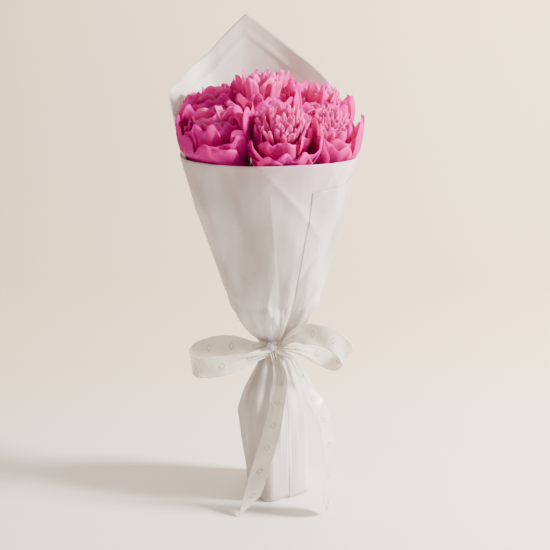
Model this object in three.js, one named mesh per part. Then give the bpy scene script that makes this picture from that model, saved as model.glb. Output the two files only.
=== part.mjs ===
// A hand-tied bunch of seven peonies. The stems cross in a spiral at a string tie, so that the
// bunch stands on its cut ends. Two sheets of frosted paper are gathered round it at the tie and
// flare below it as a skirt, and a satin ribbon is tied over the gather in a bow.
// Millimetres and degrees, +Z up, standing on z = 0, the front of the bunch towards -Y.
import * as THREE from "three";

// ---- Driving dimensions ----
const TIE_Z = 192; // height of the string and of the bow's knot
const RIM_Z = 426; // top edge of the front sheet
const PEAK_Z = 584; // top corner of the back sheet
const PEAK_ANGLE = 102; // where that corner stands, from +X
const PAPER = 0.8; // thickness of the paper solids
const LAYER = 1.3; // between the middles of two sheets that overlap
const LIP = 7; // the skirt's lower edge, turned in
const PETAL = 1.5; // thickness of the petal solids
const STEM_R = 3.1;
const RIBBON = 0.8; // thickness of the ribbon solids
const RIBBON_W = 25; // the ribbon's width
const GAP = 0.35; // kept between two solids that meet

// The blooms: middle, radius, and how far and which way each one leans.
const BLOOMS = [
  { name: "front_left", at: [-60, -37, 455], r: 41, lean: 20, to: 215, lobes: 6, open: 112 },
  { name: "front_middle", at: [11, -52, 455], r: 37, lean: 20, to: 275, lobes: 5, open: 110 },
  { name: "right", at: [61, -23, 454], r: 35, lean: 18, to: 330, lobes: 5, open: 112 },
  { name: "middle", at: [-14, 12, 480], r: 38, lean: 4, to: 260, lobes: 7, open: 126 },
  { name: "back_left", at: [-66, 33, 472], r: 36, lean: 10, to: 150, lobes: 6, open: 118 },
  { name: "back", at: [2, 66, 480], r: 35, lean: 6, to: 80, lobes: 6, open: 122 },
  { name: "back_right", at: [55, 38, 472], r: 35, lean: 10, to: 30, lobes: 6, open: 118 },
];
const STEM_RING = 6.95; // radius of the ring of six stems at the tie, round the seventh
const STEM_FOOT = 25; // radius of the ring of their cut ends
const FIRST_SLOT = -42; // angle of the first stem of the ring, at the tie
const RING_ORDER = ["back_right", "back", "back_left", "front_left", "front_middle", "right"];

const COLOURS = {
  petal: 0xd8488c,
  inner: 0xe06aa4,
  heart: 0xf09cc0,
  green: 0x5f7a34,
  stem: 0x7a8f4a,
  paper: 0xe9e2df,
  ribbon: 0xe8e2d6,
  string: 0xb89b6a,
};

// ---- Small tools ----
const rad = THREE.MathUtils.degToRad;
const V = (x, y, z) => new THREE.Vector3(x, y, z);
const polar = (radius, degrees, z) =>
  V(radius * Math.cos(rad(degrees)), radius * Math.sin(rad(degrees)), z);

// Straight-line interpolation in a list of [x, y], held at its ends.
function along(list, x) {
  if (x <= list[0][0]) return list[0][1];
  for (let k = 1; k < list.length; k++) {
    const [x0, y0] = list[k - 1];
    const [x1, y1] = list[k];
    if (x <= x1) return y0 + ((y1 - y0) * (x - x0)) / (x1 - x0);
  }
  return list[list.length - 1][1];
}

// A thin solid round a surface: point(i, j) gives its middle, columns by rows steps. A closed
// one joins its last column to its first.
function thinSolid(point, columns, rows, thickness, closed = false) {
  const wide = closed ? columns : columns + 1;
  const middle = [];
  for (let i = 0; i < wide; i++) {
    middle.push([]);
    for (let j = 0; j <= rows; j++) middle[i].push(point(i, j));
  }
  const column = (i) => (closed ? (i + columns) % columns : Math.min(Math.max(i, 0), columns));
  const row = (j) => Math.min(Math.max(j, 0), rows);
  const positions = [];
  for (const side of [0.5, -0.5])
    for (let i = 0; i < wide; i++)
      for (let j = 0; j <= rows; j++) {
        const across = middle[column(i + 1)][j].clone().sub(middle[column(i - 1)][j]);
        const up = middle[i][row(j + 1)].clone().sub(middle[i][row(j - 1)]);
        const normal = across.cross(up).normalize();
        const p = middle[i][j].clone().addScaledVector(normal, side * thickness);
        positions.push(p.x, p.y, p.z);
      }
  const front = (i, j) => column(i) * (rows + 1) + j;
  const back = (i, j) => wide * (rows + 1) + front(i, j);
  const index = [];
  const quad = (a, b, c, d) => index.push(a, b, c, a, c, d);
  for (let i = 0; i < columns; i++) {
    for (let j = 0; j < rows; j++) {
      quad(front(i, j), front(i + 1, j), front(i + 1, j + 1), front(i, j + 1));
      quad(back(i, j), back(i, j + 1), back(i + 1, j + 1), back(i + 1, j));
    }
    quad(front(i, 0), back(i, 0), back(i + 1, 0), front(i + 1, 0));
    quad(front(i, rows), front(i + 1, rows), back(i + 1, rows), back(i, rows));
  }
  if (!closed)
    for (let j = 0; j < rows; j++) {
      quad(front(0, j), front(0, j + 1), back(0, j + 1), back(0, j));
      quad(front(columns, j), back(columns, j), back(columns, j + 1), front(columns, j + 1));
    }
  return facingOut(positions, index);
}

// A geometry from points and triangles, turned round if its faces point inwards.
function facingOut(positions, index) {
  const corner = (k) => V(...positions.slice(3 * index[k], 3 * index[k] + 3));
  let volume = 0;
  for (let k = 0; k < index.length; k += 3)
    volume += corner(k).dot(corner(k + 1).cross(corner(k + 2)));
  if (volume < 0)
    for (let k = 0; k < index.length; k += 3)
      [index[k + 1], index[k + 2]] = [index[k + 2], index[k + 1]];
  return new THREE.BufferGeometry()
    .setAttribute("position", new THREE.Float32BufferAttribute(positions, 3))
    .setIndex(index);
}

const bunch = new THREE.Group();

function add(name, geometry, colour, roughness = 0.6) {
  geometry.computeVertexNormals();
  const material = new THREE.MeshStandardMaterial({ color: colour, roughness, metalness: 0 });
  const mesh = new THREE.Mesh(geometry, material);
  mesh.name = name;
  bunch.add(mesh);
  return mesh;
}

// ---- The paper: one outline, which both sheets follow ----
const PROFILE = [
  // height, radius
  [0, 46],
  [35, 45],
  [70, 43.5],
  [104, 40],
  [132, 33.5],
  [154, 24],
  [170, 17.5],
  [184, 14.4],
  [200, 14.4],
  [209, 21],
  [222, 33],
  [240, 44],
  [268, 57],
  [308, 69.5],
  [365, 88],
  [RIM_Z, 101],
  [RIM_Z + 20, 105],
  [PEAK_Z, 119],
];
const SKIRT_CORNERS = [
  // angle, radius of the skirt's foot there
  [-98, 50],
  [-18, 52],
  [50, 46],
  [127, 52],
  [195, 44],
  [262, 50],
];
const SWELL = 8; // how far the skirt swells out on the left
const SWELL_Z = 100; // height of the middle of that swell
const FRONT_DEPTH = 0.94; // the upper part is this much shallower than wide, in front
const LEAN = -0.021; // how far the upper part leans along X, for each millimetre of height

// How far out a polygon's side lies in a direction, for corners given as [angle, radius].
function polygonRadius(corners, degrees) {
  let k = 1;
  while (k < corners.length - 1 && corners[k][0] < degrees) k++;
  const [a0, r0] = corners[k - 1];
  const [a1, r1] = corners[k];
  const cross = r0 * r1 * Math.sin(rad(a1 - a0));
  return cross / (r0 * Math.sin(rad(degrees - a0)) + r1 * Math.sin(rad(a1 - degrees)));
}

const leanAt = (z) => LEAN * Math.max(0, z - TIE_Z);

function paperRadius(degrees, z) {
  const turned = ((((degrees + 98) % 360) + 360) % 360) - 98;
  const radius = along(PROFILE, z);
  const share = along([[0, 1], [104, 0.8], [165, 0]], z);
  const skirt = 1 + share * (polygonRadius(SKIRT_CORNERS, turned) / 46 - 1);
  const left = Math.max(0, -Math.cos(rad(degrees))) ** 2;
  const swell = SWELL * left * along([[10, 0], [SWELL_Z, 1], [170, 0]], z);
  const front = Math.max(0, -Math.sin(rad(degrees))) ** 2;
  const upper = along([[209, 0], [268, 1]], z);
  return swell + radius * skirt * (1 - upper * front * (1 - FRONT_DEPTH));
}

// A point of a sheet that lies layer outside the outline, measured square to the profile.
function paperPoint(degrees, z, layer) {
  const r = paperRadius(degrees, z);
  const slope = (paperRadius(degrees, z + 2) - paperRadius(degrees, z - 2)) / 4;
  const square = Math.hypot(1, slope);
  const p = polar(r + layer / square, degrees, z - (layer * slope) / square);
  return p.setX(p.x + leanAt(p.z));
}

const HEEL = 5; // the first row above the skirt's lower edge
const ROWS = [0, HEEL, ...PROFILE.map(([z]) => z).slice(1, -3)];
const LAST_ROWS = [0.3, 0.65, 1]; // shares of the way from the highest of these to the edge
const COLUMN = 10; // degrees from one column to the next, the same in both sheets

// One sheet of paper from an angle to another: layerAt(angle) says where it runs, edgeAt(angle)
// how high it ends, and baseAt(angle) how high its foot is, where that rests on the other sheet.
function sheet(from, to, layerAt, edgeAt, baseAt) {
  const start = ROWS[ROWS.length - 1];
  const point = (i, j) => {
    const angle = from + COLUMN * i;
    const layer = layerAt(angle);
    const base = PAPER / 2 + baseAt(angle);
    if (j === 0) return polar(paperRadius(angle, 0) + layer - LIP, angle, base);
    if (j === 1) return polar(paperRadius(angle, 0) + layer, angle, base);
    if (j <= ROWS.length) return paperPoint(angle, ROWS[j - 1], layer);
    const share = LAST_ROWS[j - 1 - ROWS.length];
    return paperPoint(angle, start + (edgeAt(angle) - start) * share, layer);
  };
  const rows = ROWS.length + LAST_ROWS.length;
  const geometry = thinSolid(point, (to - from) / COLUMN, rows, PAPER);
  const position = geometry.getAttribute("position");
  for (let k = 0; k < position.count; k++)
    if (position.getZ(k) < PAPER * 0.4) position.setZ(k, 0);
  return geometry;
}

const BACK_FROM = PEAK_ANGLE - 16 * COLUMN;
const BACK_TO = PEAK_ANGLE + 10 * COLUMN;
const BACK_EDGE = [
  // angle, height of the back sheet's top edge
  [BACK_FROM, 396],
  [-28, 400],
  [-8, 410],
  [12, 444],
  [25, 470],
  [48, 504],
  [70, 536],
  [94, 573],
  [PEAK_ANGLE, PEAK_Z],
  [110, 571],
  [127, 539],
  [141, 523],
  [152, 508],
  [180, 493],
  [BACK_TO, 452],
];

// The back sheet lies outside the front one on the right, and inside it on the left.
function backSheet() {
  const layerAt = (angle) => along([[12, LAYER], [152, -LAYER]], angle);
  const edgeAt = (angle) => along(BACK_EDGE, angle);
  const baseAt = (angle) => along([[142, 0], [152, LAYER]], angle);
  return sheet(BACK_FROM, BACK_TO, layerAt, edgeAt, baseAt);
}

const FRONT_FROM = PEAK_ANGLE + 6 * COLUMN;
const FRONT_TO = PEAK_ANGLE + 27 * COLUMN;
const FRONT_EDGE = [
  [FRONT_FROM, RIM_Z + 3],
  [210, RIM_Z],
  [255, RIM_Z],
  [290, RIM_Z + 1],
  [330, RIM_Z],
  [FRONT_TO, RIM_Z - 2],
];

function frontSheet() {
  const edgeAt = (angle) => along(FRONT_EDGE, angle);
  const baseAt = (angle) => along([[282, 0], [292, LAYER]], angle);
  return sheet(FRONT_FROM, FRONT_TO, () => 0, edgeAt, baseAt);
}

// ---- The blooms ----
const middleOf = (bloom) => V(...bloom.at);

// The way that a bloom faces.
function axisOf(bloom) {
  return polar(Math.sin(rad(bloom.lean)), bloom.to, Math.cos(rad(bloom.lean)));
}

const ROOM = 2.8; // between the petals and the paper's outline

// Blooms press against each other and against the paper: a point past the plane between two
// of them, or past the paper, is moved back.
function pressed(p, bloom, margin) {
  const centre = middleOf(bloom);
  for (const other of BLOOMS) {
    if (other === bloom) continue;
    const away = middleOf(other).sub(centre);
    const d = away.length();
    away.divideScalar(d);
    const limit = (d * d + bloom.r ** 2 - other.r ** 2) / (2 * d) - margin;
    const past = p.clone().sub(centre).dot(away) - limit;
    if (past > 0) p.addScaledVector(away, -past);
  }
  const out = V(p.x - leanAt(p.z), p.y, 0);
  const angle = THREE.MathUtils.radToDeg(Math.atan2(out.y, out.x));
  const over = out.length() - (paperRadius(angle, p.z) - ROOM - margin);
  return over > 0 ? p.addScaledVector(out.normalize(), -over) : p;
}

// A ring of petals as one cup with a lobed rim: from is the angle up from the foot where it
// starts, and to is where its lobes end.
function cup(bloom, share, from, to, lobes, columns, rows, turn) {
  const centre = middleOf(bloom);
  const upright = new THREE.Quaternion().setFromUnitVectors(V(0, 0, 1), axisOf(bloom));
  const point = (i, j) => {
    const b = (2 * Math.PI * i) / columns;
    const lobe = Math.abs(Math.cos((lobes * b) / 2 + turn));
    const a = rad(from + ((to - 16 + 16 * lobe - from) * j) / rows);
    const r = bloom.r * share * (1 + 0.03 * Math.cos(lobes * b + 2 * turn) * (j / rows));
    const p = V(r * Math.sin(a) * Math.cos(b), r * Math.sin(a) * Math.sin(b), -r * Math.cos(a));
    p.applyQuaternion(upright).add(centre);
    return pressed(p, bloom, PETAL / 2 + GAP + (1 - share) * 8);
  };
  return thinSolid(point, columns, rows, PETAL, true);
}

// The tight middle of a bloom: a ball with a ruffled outline.
function heart(bloom) {
  const r = bloom.r * 0.34;
  const steps = 6;
  const profile = [];
  for (let k = 0; k <= steps; k++) {
    const a = (Math.PI * k) / steps;
    const ruffle = k > 0 && k < steps ? 1 + 0.06 * (-1) ** k : 1;
    profile.push(new THREE.Vector2(k % steps ? r * ruffle * Math.sin(a) : 0, -r * Math.cos(a)));
  }
  return new THREE.LatheGeometry(profile, 10);
}

// Five sepals under the petals, joined round the stem.
function calyx(bloom) {
  const centre = middleOf(bloom);
  const upright = new THREE.Quaternion().setFromUnitVectors(V(0, 0, 1), axisOf(bloom));
  const columns = 15;
  const rows = 2;
  const r = bloom.r + PETAL + GAP;
  const point = (i, j) => {
    const b = (2 * Math.PI * i) / columns;
    const reach = i % 3 ? 21 : 33;
    const a = rad(11 + ((reach - 11) * j) / rows);
    const p = V(r * Math.sin(a) * Math.cos(b), r * Math.sin(a) * Math.sin(b), -r * Math.cos(a));
    return pressed(p.applyQuaternion(upright).add(centre), bloom, PETAL / 2 + GAP);
  };
  return thinSolid(point, columns, rows, 1.2, true);
}

// A stem, as level rings: from its cut end, past its place at the tie, up into its bloom.
function stem(bloom) {
  const slot = RING_ORDER.indexOf(bloom.name);
  const ringed = slot >= 0;
  const angle = FIRST_SLOT + 60 * slot;
  const foot = ringed ? polar(STEM_FOOT, angle - 75, 0) : V(2, 1, 0);
  const waist = ringed ? polar(STEM_RING, angle, TIE_Z) : V(0, 0, TIE_Z);
  const axis = axisOf(bloom);
  const top = middleOf(bloom).addScaledVector(axis, -bloom.r * 0.42);
  const swing = ringed ? polar(0.16, angle + 90, 0) : V(0, 0, 0);
  const height = top.z - TIE_Z;
  const centre = (z) => {
    if (z <= TIE_Z) return foot.clone().lerp(waist, z / TIE_Z);
    const t = (z - TIE_Z) / height;
    const p = waist.clone().multiplyScalar(2 * t ** 3 - 3 * t ** 2 + 1);
    p.addScaledVector(swing, height * (t ** 3 - 2 * t ** 2 + t));
    p.addScaledVector(top, 3 * t ** 2 - 2 * t ** 3);
    p.addScaledVector(axis.clone().divideScalar(axis.z), height * (t ** 3 - t ** 2));
    return p.setZ(z);
  };
  const sides = 7;
  const levels = [0, 95, 165, TIE_Z, 222, 260, 300, 340, 375, 405, top.z];
  const positions = [];
  const index = [];
  levels.forEach((z, k) => {
    const c = centre(z);
    for (let i = 0; i < sides; i++) {
      const p = polar(STEM_R, (360 * i) / sides, 0).add(c);
      positions.push(p.x, p.y, p.z);
      if (k === 0) continue;
      const [a, b] = [(k - 1) * sides + i, (k - 1) * sides + ((i + 1) % sides)];
      index.push(a, b, b + sides, a, b + sides, a + sides);
    }
  });
  const last = (levels.length - 1) * sides;
  for (let i = 1; i < sides - 1; i++) index.push(0, i + 1, i, last, last + i, last + i + 1);
  return facingOut(positions, index);
}

// ---- Leaves, standing between the stems and the paper ----
const LEAVES = [
  // angle, height of its foot and tip, width
  { name: "leaf_front_left", angle: 258, foot: 306, tip: 437, width: 24 },
  { name: "leaf_front_right", angle: 292, foot: 310, tip: 433, width: 22 },
  { name: "leaf_right", angle: 2, foot: 300, tip: 428, width: 24 },
  { name: "leaf_back", angle: 118, foot: 304, tip: 438, width: 26 },
  { name: "leaf_left", angle: 178, foot: 300, tip: 426, width: 24 },
];
const LEAF_INSET = 7; // between the paper and the leaves

function leaf({ angle, foot, tip, width }) {
  const columns = 4;
  const rows = 7;
  const point = (i, j) => {
    const t = j / rows;
    const z = foot + (tip - foot) * t;
    const r = paperRadius(angle, z) - LEAF_INSET - 16 * (1 - t) ** 2;
    const half = Math.max(1.2, (width / 2) * Math.sin(Math.PI * Math.min(1, t ** 0.8)));
    const across = (2 * i) / columns - 1;
    const p = polar(r - 2.5 * Math.abs(across), angle + (across * half * 57.3) / r, z);
    return p.setX(p.x + leanAt(z));
  };
  return thinSolid(point, columns, rows, 1);
}

// ---- The string and the ribbon ----
function ring(inner, outer, low, high, sides) {
  const bevel = (outer - inner) / 4;
  const profile = [
    [inner, low + bevel],
    [inner + bevel, low],
    [outer - bevel, low],
    [outer, low + bevel],
    [outer, high - bevel],
    [outer - bevel, high],
    [inner + bevel, high],
    [inner, high - bevel],
    [inner, low + bevel],
  ].map(([r, z]) => new THREE.Vector2(r, z));
  return new THREE.LatheGeometry(profile, sides).rotateX(Math.PI / 2);
}

const KNOT = V(0, -25.5, TIE_Z + 3);
const KNOT_RADII = [8, 6, 9];

// A run of ribbon. Each key is its middle, the way its width points, and its half width.
function ribbonRun(keys, steps) {
  const middle = new THREE.CatmullRomCurve3(keys.map((k) => V(...k.at)));
  const wide = new THREE.CatmullRomCurve3(keys.map((k) => V(...k.wide).setLength(k.half)));
  const point = (i, j) => {
    const t = j / steps;
    return middle.getPoint(t).addScaledVector(wide.getPoint(t), i - 1);
  };
  return thinSolid(point, 2, steps, RIBBON);
}

const FULL = RIBBON_W / 2;
const LOOP_LEFT = [
  { at: [-9, -24, 199], wide: [0, -0.1, 1], half: 4 },
  { at: [-26, -24, 197], wide: [0, -0.1, 1], half: 8.5 },
  { at: [-48, -23, 198], wide: [0, -0.2, 1], half: FULL },
  { at: [-71, -23, 197], wide: [0, -0.2, 1], half: FULL },
  { at: [-89, -27, 190], wide: [-0.2, -0.2, 1], half: FULL },
  { at: [-97, -37, 181], wide: [-0.25, -0.4, 1], half: FULL },
  { at: [-87, -46, 174], wide: [-0.1, -0.9, 0.5], half: FULL },
  { at: [-58, -45, 176], wide: [0, -0.9, -0.45], half: 11.5 },
  { at: [-31, -38, 184], wide: [0.1, -0.9, -0.4], half: 7.5 },
  { at: [-10, -32, 192], wide: [0.1, -1, -0.1], half: 3.5 },
];
const LOOP_RIGHT = [
  { at: [12, -29, 203], wide: [-0.3, -0.2, 1], half: 4 },
  { at: [22, -31, 212], wide: [-0.4, -0.2, 1], half: 7 },
  { at: [37, -34, 218], wide: [-0.1, -0.3, 1], half: FULL },
  { at: [54, -37, 218], wide: [0.15, -0.4, 1], half: FULL },
  { at: [71, -39, 211], wide: [0.4, -0.4, 1], half: FULL },
  { at: [85, -37, 198], wide: [0.6, -0.3, 1], half: FULL },
  { at: [90, -27, 183], wide: [0.6, -0.1, 1], half: FULL },
  { at: [79, -16, 176], wide: [0.4, 0.4, 1], half: FULL },
  { at: [61, -12, 181], wide: [0.3, 0.5, 1], half: FULL },
  { at: [43, -14, 188], wide: [0.2, 0.6, 1], half: 9 },
  { at: [27, -19, 193], wide: [0, 0.6, 1], half: 5 },
  { at: [14, -23, 195], wide: [0, 0.5, 1], half: 3.5 },
];
const TAIL_LEFT = [
  { at: [3, -33, 186], wide: [1, 0, 0], half: 4 },
  { at: [10, -37, 170], wide: [1, 0.1, 0], half: 6 },
  { at: [10, -45, 154], wide: [1, 0.1, 0], half: 7 },
  { at: [6, -50, 134], wide: [1, 0.2, 0], half: 8 },
  { at: [1, -54, 110], wide: [1, 0.2, 0.1], half: 9.5 },
  { at: [-5, -57, 86], wide: [1, 0.2, 0.2], half: 11 },
  { at: [-13, -61, 60], wide: [1, 0.2, 0.3], half: FULL },
  { at: [-21, -67, 34], wide: [1, 0.2, 0.3], half: FULL },
  { at: [-28, -74, 11], wide: [1, 0.5, 0.4], half: FULL },
];
const TAIL_RIGHT = [
  { at: [12, -31, 191], wide: [0.3, -1, 0.3], half: 3.5 },
  { at: [22, -37, 188], wide: [0.5, -1, 0.5], half: 4 },
  { at: [31, -45, 176], wide: [0.5, -1, 0.3], half: 7 },
  { at: [40, -53, 159], wide: [0.7, -0.9, 0.3], half: 10 },
  { at: [50, -59, 142], wide: [0.75, -0.8, 0.3], half: FULL },
  { at: [59, -64, 124], wide: [0.7, -0.8, 0.15], half: FULL },
  { at: [64, -67, 104], wide: [0.6, -0.85, 0], half: FULL },
  { at: [66, -70, 78], wide: [0.55, -0.9, 0], half: FULL },
  { at: [66, -72, 48], wide: [0.5, -0.9, 0], half: FULL },
  { at: [66, -73, 22], wide: [0.5, -0.9, 0], half: FULL },
  { at: [66, -73, 7], wide: [0.5, -0.9, 0], half: 6 },
];

// ---- Putting it together ----
for (const bloom of BLOOMS) {
  const guard = cup(bloom, 1, 13, bloom.open, bloom.lobes, 16, 5, 0);
  const inner = cup(bloom, 0.68, 19, bloom.open + 22, bloom.lobes, 12, 4, 0.9);
  add(`${bloom.name}_guard_petals`, guard, COLOURS.petal);
  add(`${bloom.name}_inner_petals`, inner, COLOURS.inner);
  const ball = add(`${bloom.name}_heart`, heart(bloom).rotateX(Math.PI / 2), COLOURS.heart);
  ball.position.copy(middleOf(bloom)).addScaledVector(axisOf(bloom), bloom.r * 0.06);
  ball.quaternion.setFromUnitVectors(V(0, 0, 1), axisOf(bloom));
  add(`${bloom.name}_calyx`, calyx(bloom), COLOURS.green);
  add(`${bloom.name}_stem`, stem(bloom), COLOURS.stem);
}
for (const each of LEAVES) add(each.name, leaf(each), COLOURS.green);

add("wrap_back_sheet", backSheet(), COLOURS.paper, 0.5);
add("wrap_front_sheet", frontSheet(), COLOURS.paper, 0.5);

add("stem_string", ring(10.6, 12, TIE_Z - 5, TIE_Z + 5, 20), COLOURS.string);
add("ribbon_band", ring(16.4, 17.6, TIE_Z - 7, TIE_Z + 7, 20), COLOURS.ribbon, 0.4);
const knot = new THREE.SphereGeometry(1, 10, 7).scale(...KNOT_RADII);
add("ribbon_knot", knot, COLOURS.ribbon, 0.4).position.copy(KNOT);
add("ribbon_loop_left", ribbonRun(LOOP_LEFT, 22), COLOURS.ribbon, 0.4);
add("ribbon_loop_right", ribbonRun(LOOP_RIGHT, 24), COLOURS.ribbon, 0.4);
add("ribbon_tail_left", ribbonRun(TAIL_LEFT, 14), COLOURS.ribbon, 0.4);
add("ribbon_tail_right", ribbonRun(TAIL_RIGHT, 16), COLOURS.ribbon, 0.4);

// The origin is under the middle of the bunch's own box.
bunch.updateMatrixWorld(true);
const box = new THREE.Box3().setFromObject(bunch);
bunch.position.set(-(box.min.x + box.max.x) / 2, -(box.min.y + box.max.y) / 2, 0);

export default bunch;
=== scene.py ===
"""A hand-tied bunch of pink peonies in frosted paper, with a satin ribbon bow."""
import math
import bpy
import numpy as np
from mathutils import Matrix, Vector


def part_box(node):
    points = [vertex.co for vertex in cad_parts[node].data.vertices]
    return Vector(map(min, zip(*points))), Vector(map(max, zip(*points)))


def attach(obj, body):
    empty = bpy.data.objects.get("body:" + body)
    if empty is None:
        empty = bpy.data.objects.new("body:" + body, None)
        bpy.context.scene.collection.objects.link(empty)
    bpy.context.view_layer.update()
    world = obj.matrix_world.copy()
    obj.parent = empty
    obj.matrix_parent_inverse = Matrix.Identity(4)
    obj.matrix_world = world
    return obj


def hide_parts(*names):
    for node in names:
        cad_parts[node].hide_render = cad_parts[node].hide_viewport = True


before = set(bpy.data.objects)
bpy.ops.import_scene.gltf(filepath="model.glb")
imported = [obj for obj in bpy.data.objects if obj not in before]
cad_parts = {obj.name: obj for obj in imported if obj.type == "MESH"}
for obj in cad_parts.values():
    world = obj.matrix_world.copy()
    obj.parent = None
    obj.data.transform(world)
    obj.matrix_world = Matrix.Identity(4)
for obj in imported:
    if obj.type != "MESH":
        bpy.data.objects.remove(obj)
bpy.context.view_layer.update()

MM = 0.001
STRING_LOW, STRING_HIGH = (np.array(corner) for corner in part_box("stem_string"))
AXIS = np.array([*(STRING_LOW + STRING_HIGH)[:2] / 2, 0.0])  # the foot of the tie's upright axis
TIE_Z = float(STRING_LOW[2] + STRING_HIGH[2]) / 2
TIE_MM = TIE_Z / MM

# Thickness of each soft material, in metres.
PAPER_THICK = 0.00035
PETAL_THICK = 0.0005
SEPAL_THICK = 0.0006
LEAF_THICK = 0.0005
RIBBON_THICK = 0.0003
BAND_THICK = 0.0004

# ---- Camera ----
CAMERA_SIDE = 0.003
CAMERA_AWAY = 1.06
CAMERA_HEIGHT = 0.58
AIM_HEIGHT = 0.28
camera = bpy.data.objects.new("camera", bpy.data.cameras.new("camera"))
bpy.context.collection.objects.link(camera)
camera.data.lens = 60
camera.location = (AXIS[0] + CAMERA_SIDE, AXIS[1] - CAMERA_AWAY, CAMERA_HEIGHT)
look_at = Vector((AXIS[0] + CAMERA_SIDE, AXIS[1], AIM_HEIGHT))
camera.rotation_euler = (look_at - camera.location).to_track_quat("-Z", "Y").to_euler()
bpy.context.scene.camera = camera


# ---- Mesh tools ----
def mesh_of(name, grids, thickness=0.0, shades=None):
    """One object from grids of points, each columns x rows x 3, with UVs and a shade per grid."""
    verts, faces, uvs, shade = [], [], [], []
    start = 0
    for k, grid in enumerate(grids):
        columns, rows = grid.shape[:2]
        verts.append(grid.reshape(-1, 3))
        i, j = np.meshgrid(np.arange(columns - 1), np.arange(rows - 1), indexing="ij")
        a = (start + i * rows + j).ravel()
        faces.append(np.stack([a, a + rows, a + rows + 1, a + 1], 1))
        u, v = np.meshgrid(np.linspace(0, 1, columns), np.linspace(0, 1, rows), indexing="ij")
        uvs.append(np.stack([u.ravel(), v.ravel()], 1))
        shade.append(np.full(columns * rows, shades[k] if shades is not None else 0.5))
        start += columns * rows
    verts, faces, uvs = (np.concatenate(part) for part in (verts, faces, uvs))
    mesh = bpy.data.meshes.new(name)
    mesh.from_pydata(verts.tolist(), [], faces.tolist())
    layer = mesh.uv_layers.new(name="uv")
    layer.data.foreach_set("uv", uvs[faces.ravel()].ravel())
    tone = mesh.attributes.new("shade", "FLOAT", "POINT")
    tone.data.foreach_set("value", np.concatenate(shade))
    mesh.shade_smooth()
    piece = bpy.data.objects.new(name, mesh)
    bpy.context.collection.objects.link(piece)
    if thickness:
        solid = piece.modifiers.new("thickness", "SOLIDIFY")
        solid.thickness = thickness
        solid.offset = 0
    return piece


def tube(points, radius, sides=12):
    """A grid round a line of points; radius may be one number or one for each point."""
    points = np.asarray(points, float)
    along = np.gradient(points, axis=0)
    along /= np.linalg.norm(along, axis=1, keepdims=True)
    side = np.cross(along, [0.31, 0.77, 0.55])
    side /= np.linalg.norm(side, axis=1, keepdims=True)
    other = np.cross(along, side)
    turn = np.linspace(0, 2 * math.pi, sides + 1)[:, None, None]
    radius = np.broadcast_to(radius, len(points))[None, :, None]
    return points[None] + radius * (np.cos(turn) * side[None] + np.sin(turn) * other[None])


def place(piece, material, slot, *nodes):
    """Gives a piece its material and says which part of the frame it belongs to."""
    piece.data.materials.append(material)
    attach(piece, "root")
    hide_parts(*nodes)


def smooth(x):
    """From 0 to 1 with a level start and end."""
    x = np.clip(x, 0, 1)
    return x * x * (3 - 2 * x)


# ---- Materials ----
# The share of the light on the far side that comes through each material.
PETAL_GLOW = 0.5
PAPER_GLOW = 0.3
SATIN_GLOW = 0.35
# Painted pink on the paper, standing in for the blooms' colour seen through it.
PAINTED_BLOOM_PINK = (0.80, 0.36, 0.50)
ROSE_GOLD = (0.46, 0.17, 0.09)


class Shader:
    """A small helper round one Principled material."""

    def __init__(self, name, **plain):
        self.material = bpy.data.materials.new(name)
        self.material.use_nodes = True
        self.nodes = self.material.node_tree.nodes
        self.links = self.material.node_tree.links
        self.bsdf = self.nodes["Principled BSDF"]
        for socket, value in plain.items():
            self.bsdf.inputs[socket.replace("_", " ")].default_value = value

    def new(self, kind, inputs=(), **settings):
        node = self.nodes.new(kind)
        for key, value in settings.items():
            setattr(node, key, value)
        for socket, value in dict(inputs).items():
            if isinstance(value, bpy.types.NodeSocket):
                self.links.new(value, node.inputs[socket])
            else:
                node.inputs[socket].default_value = value
        return node

    def where(self, stretch=(1, 1, 1), uv=False):
        source = self.new("ShaderNodeTexCoord")
        out = source.outputs["UV" if uv else "Object"]
        return self.new("ShaderNodeMapping", {"Vector": out, "Scale": stretch}).outputs[0]

    def noise(self, scale, stretch=(1, 1, 1), uv=False, detail=4):
        return self.new("ShaderNodeTexNoise", {"Vector": self.where(stretch, uv), "Scale": scale,
                                               "Detail": detail}).outputs["Fac"]

    def ramp(self, value, *stops):
        node = self.new("ShaderNodeValToRGB", {"Fac": value})
        while len(node.color_ramp.elements) < len(stops):
            node.color_ramp.elements.new(0.5)
        for element, (position, colour) in zip(node.color_ramp.elements, stops):
            element.position = position
            element.color = (*colour, 1)
        return node.outputs["Color"]

    def maths(self, operation, a, b=0.5):
        return self.new("ShaderNodeMath", {0: a, 1: b}, operation=operation).outputs[0]

    def mix(self, share, a, b, blend="MIX"):
        node = self.new("ShaderNodeMix", data_type="RGBA", blend_type=blend)
        for socket, value in ((0, share), (6, a), (7, b)):
            if isinstance(value, bpy.types.NodeSocket):
                self.links.new(value, node.inputs[socket])
            else:
                node.inputs[socket].default_value = (*value, 1) if socket else value
        return node.outputs[2]

    def colour(self, value):
        self.links.new(value, self.bsdf.inputs["Base Color"])

    def bump(self, height, strength, distance=0.001):
        node = self.new("ShaderNodeBump", {"Height": height, "Strength": strength,
                                           "Distance": distance})
        self.links.new(node.outputs[0], self.bsdf.inputs["Normal"])

    def rough(self, value, low, high):
        node = self.new("ShaderNodeMapRange", {"Value": value, "To Min": low, "To Max": high})
        self.links.new(node.outputs[0], self.bsdf.inputs["Roughness"])

    def let_through(self, colour, share):
        """Some of the light that falls on the other side comes through, spread out."""
        lit = self.new("ShaderNodeBsdfTranslucent", {"Color": (*colour, 1)})
        both = self.new("ShaderNodeMixShader", {"Fac": share, 1: self.bsdf.outputs[0],
                                                2: lit.outputs[0]})
        self.links.new(both.outputs[0], self.nodes["Material Output"].inputs["Surface"])


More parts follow.
